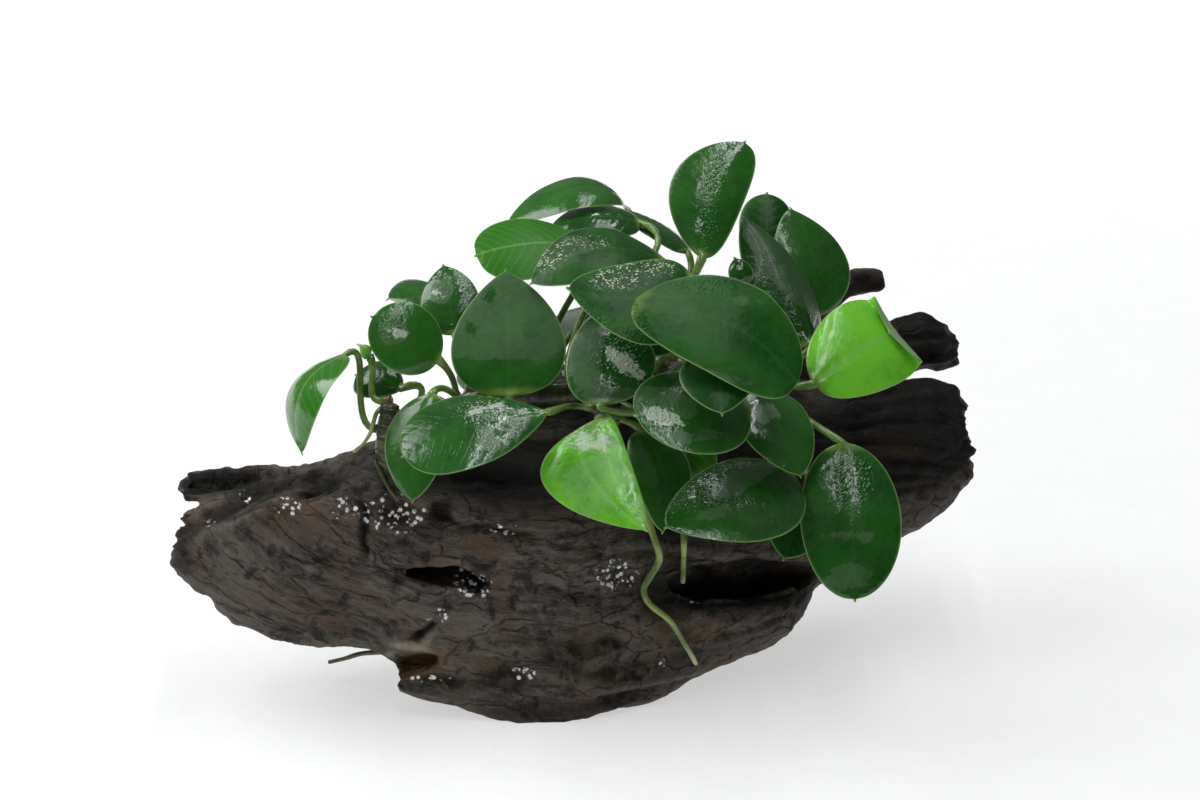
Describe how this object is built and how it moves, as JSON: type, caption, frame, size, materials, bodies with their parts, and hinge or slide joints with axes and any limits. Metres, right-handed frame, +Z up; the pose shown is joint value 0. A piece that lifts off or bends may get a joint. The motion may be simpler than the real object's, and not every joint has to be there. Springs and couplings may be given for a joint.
{
  "type": "anubias plant on driftwood",
  "caption": "Small anubias with round glossy leaves, its creeping stems and roots grown onto a dark piece of driftwood that stands on its own flat foot.",
  "frame": {"origin": "on the driftwood's flat foot, where it rests, under the middle of the plant", "axes": "+X along the wood, to the right as the picture shows it; +Y away from the viewer; +Z up"},
  "size_m": [0.1436, 0.0907, 0.092],
  "materials": {
    "driftwood": "gloss",
    "rhizome": "satin",
    "root": "satin",
    "mature_leaf": "gloss",
    "young_leaf": "gloss"
  },
  "bodies": {
    "root": {"driftwood_branch": "driftwood", "driftwood_log": "driftwood", "driftwood_stub": "driftwood", "leaf_back_arched": "mature_leaf", "leaf_back_narrow": "mature_leaf", "leaf_back_right": "mature_leaf", "leaf_back_shaded": "mature_leaf", "leaf_centre": "mature_leaf", "leaf_far_left": "young_leaf", "leaf_folded": "mature_leaf", "leaf_front_domed": "mature_leaf", "leaf_front_grooved": "mature_leaf", "leaf_front_large": "mature_leaf", "leaf_front_left": "mature_leaf", "leaf_front_lower": "mature_leaf", "leaf_front_shaded": "mature_leaf", "leaf_front_small": "young_leaf", "leaf_front_young": "young_leaf", "leaf_left_back_young": "young_leaf", "leaf_left_behind": "mature_leaf", "leaf_left_bud": "young_leaf", "leaf_left_hanging": "mature_leaf", "leaf_left_lower": "mature_leaf", "leaf_left_round": "mature_leaf", "leaf_left_upper": "mature_leaf", "leaf_middle_gritty": "mature_leaf", "leaf_middle_under": "mature_leaf", "leaf_rear_high": "mature_leaf", "leaf_rear_left": "mature_leaf", "leaf_rear_left_low": "mature_leaf", "leaf_rear_low_left": "mature_leaf", "leaf_rear_low_middle": "mature_leaf", "leaf_rear_low_right": "mature_leaf", "leaf_rear_middle": "mature_leaf", "leaf_rear_right": "mature_leaf", "leaf_rear_top": "mature_leaf", "leaf_right_hanging": "mature_leaf", "leaf_right_middle": "mature_leaf", "leaf_right_shaded": "mature_leaf", "leaf_right_young": "young_leaf", "leaf_small_inner": "mature_leaf", "leaf_top": "mature_leaf", "leaf_upper_gritty": "mature_leaf", "leaf_upright_left": "mature_leaf", "rhizome_front": "rhizome", "rhizome_left": "rhizome", "rhizome_main": "rhizome", "root_front_long": "root", "root_front_short": "root", "root_left_arc": "root", "root_left_small": "root", "root_under": "root"}
  },
  "joints": []
}
